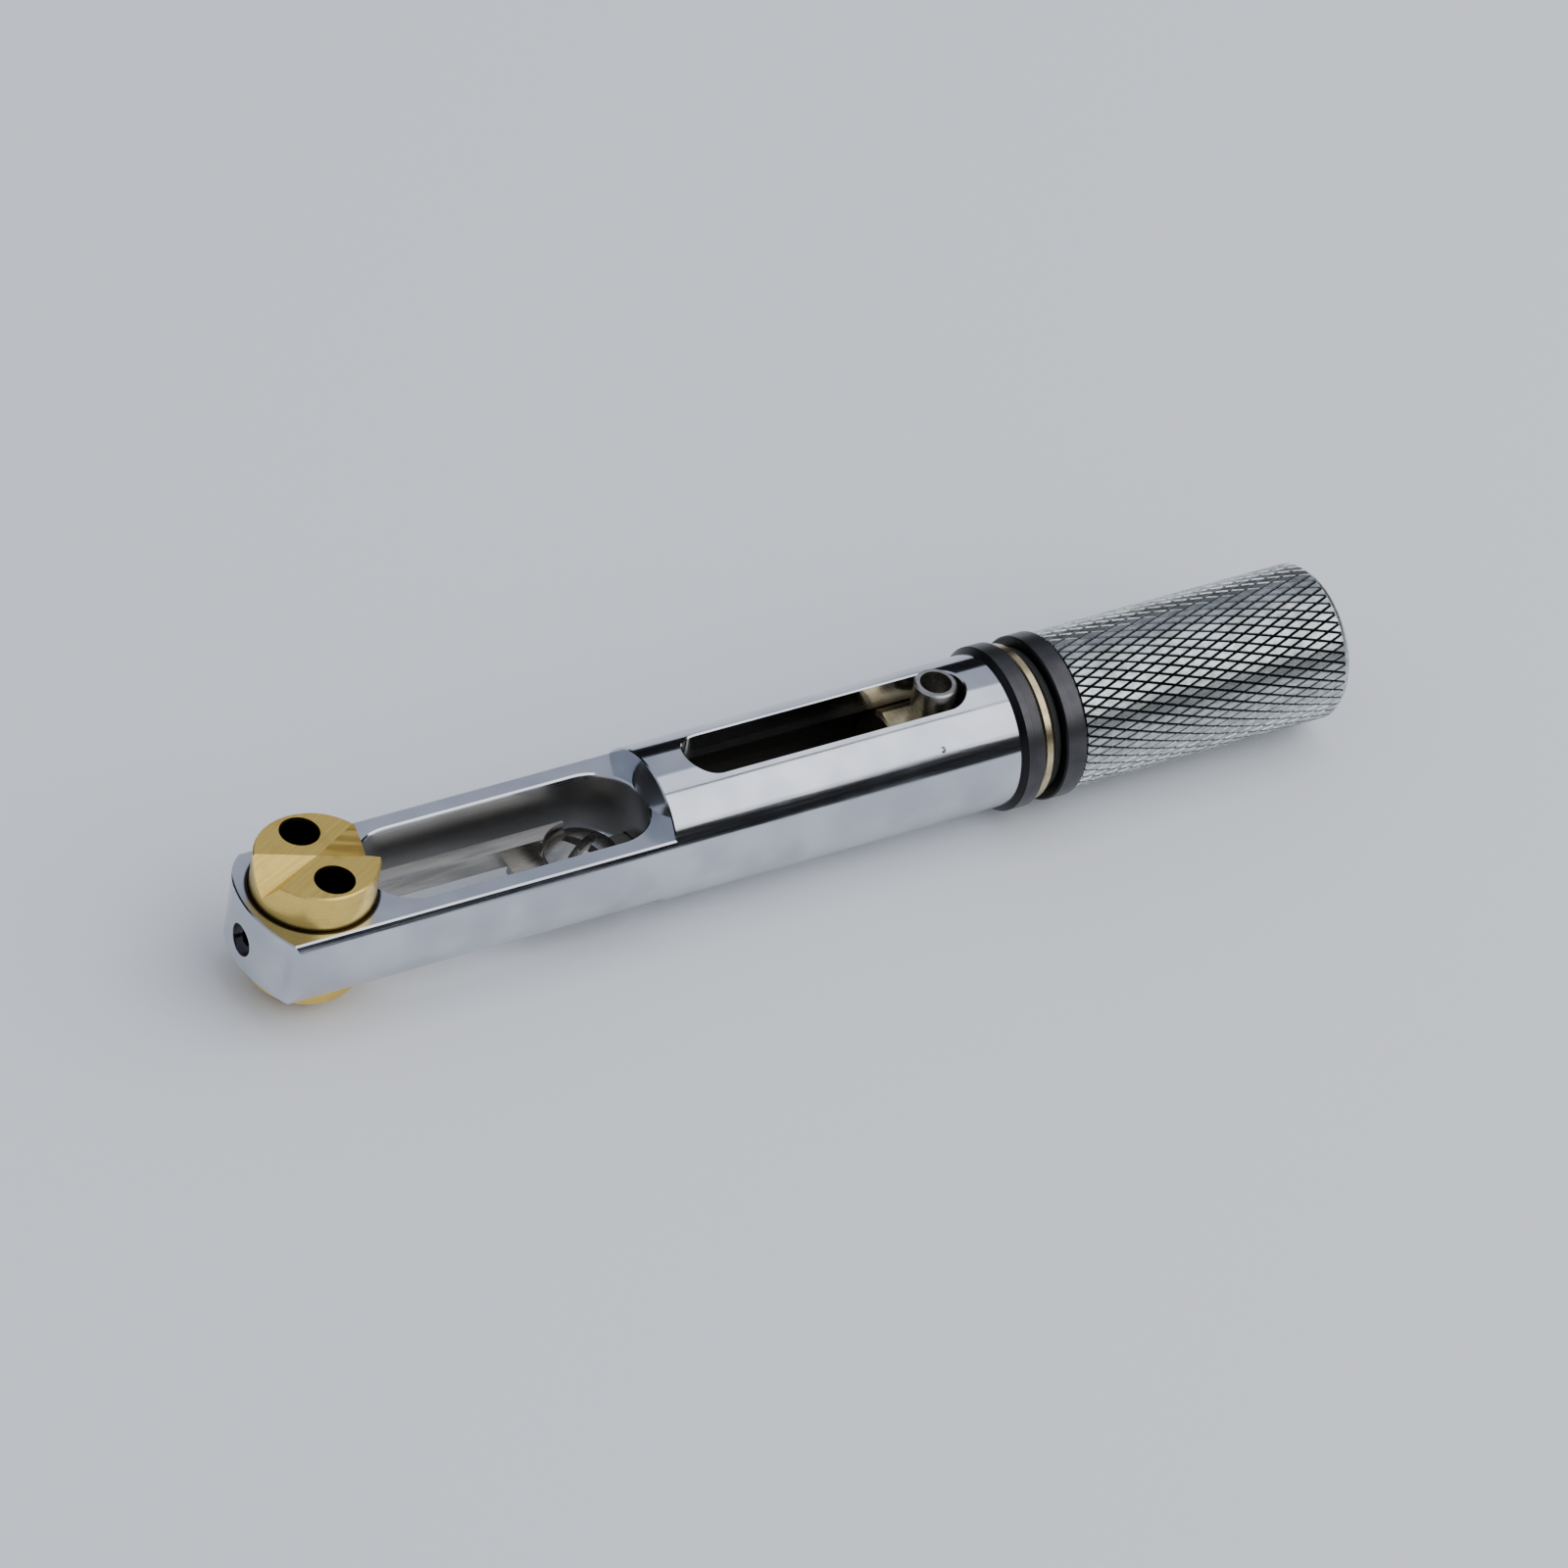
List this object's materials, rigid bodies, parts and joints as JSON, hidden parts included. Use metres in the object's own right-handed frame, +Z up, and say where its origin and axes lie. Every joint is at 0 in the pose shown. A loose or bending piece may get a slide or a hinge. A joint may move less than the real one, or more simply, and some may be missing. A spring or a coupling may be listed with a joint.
{
  "type": "screw-operated rotating-head hand tool",
  "caption": "Slim polished steel hand tool: a knurled handle turns a lead screw that slides a link bar and swings a notched brass head at the nose.",
  "frame": {"origin": "centre of the bounding box, on the tool's long axis half way along it, 40 mm behind the head's axis", "axes": "+X along the tool from the head to the handle's end, +Z up along the head's axis, square to the two milled flats, +Y completes the right-handed set"},
  "size_m": [0.0908, 0.0124, 0.0125],
  "materials": {
    "polished_steel": "mirror polished",
    "machined_steel": "machined, satin",
    "blackened_steel": "turned and chemically blackened",
    "knurled_steel": "diamond knurled",
    "brass": "machined",
    "pale_brass": "turned",
    "bronze": "sintered",
    "black_rubber": "moulded"
  },
  "bodies": {
    "tool_body": {"body": "polished_steel", "front_collar": "blackened_steel", "brass_ring": "pale_brass", "spindle_bush": "bronze", "nose_screw": "blackened_steel"},
    "head": {"head_rotor": "brass", "crank_pin": "machined_steel"},
    "carriage": {"link_bar": "machined_steel", "link_screw": "machined_steel", "drive_strip": "machined_steel", "strip_rivets": "brass", "drive_nut": "pale_brass", "guide_pin": "machined_steel"},
    "handle": {"spindle": "machined_steel", "thrust_washer": "bronze", "friction_ring": "black_rubber", "rear_collar": "blackened_steel", "handle_core": "machined_steel", "core_dowel": "machined_steel", "handle_sleeve": "knurled_steel", "lock_washer": "machined_steel", "lock_nut": "machined_steel", "end_plug": "blackened_steel"}
  },
  "joints": [
    {"name": "handle_spin", "type": "hinge", "parent": "tool_body", "child": "handle", "pos_m": [0.02, 0, 0], "axis": [1, 0, 0], "range_deg": [0, 1432.8]},
    {"name": "carriage_slide", "type": "slide", "parent": "tool_body", "child": "carriage", "axis": [-1, 0, 0], "range_m": [0, 0.00398]},
    {"name": "head_turn", "type": "hinge", "parent": "tool_body", "child": "head", "pos_m": [-0.04, 0, 0], "axis": [0, 0, 1], "range_deg": [0, 100]}
  ],
  "couplings": [
    {"joint": "carriage_slide", "follows": "handle_spin", "m_per_rad": 0.00015915},
    {"joint": "head_turn", "follows": "handle_spin", "ratio": 0.069733}
  ]
}
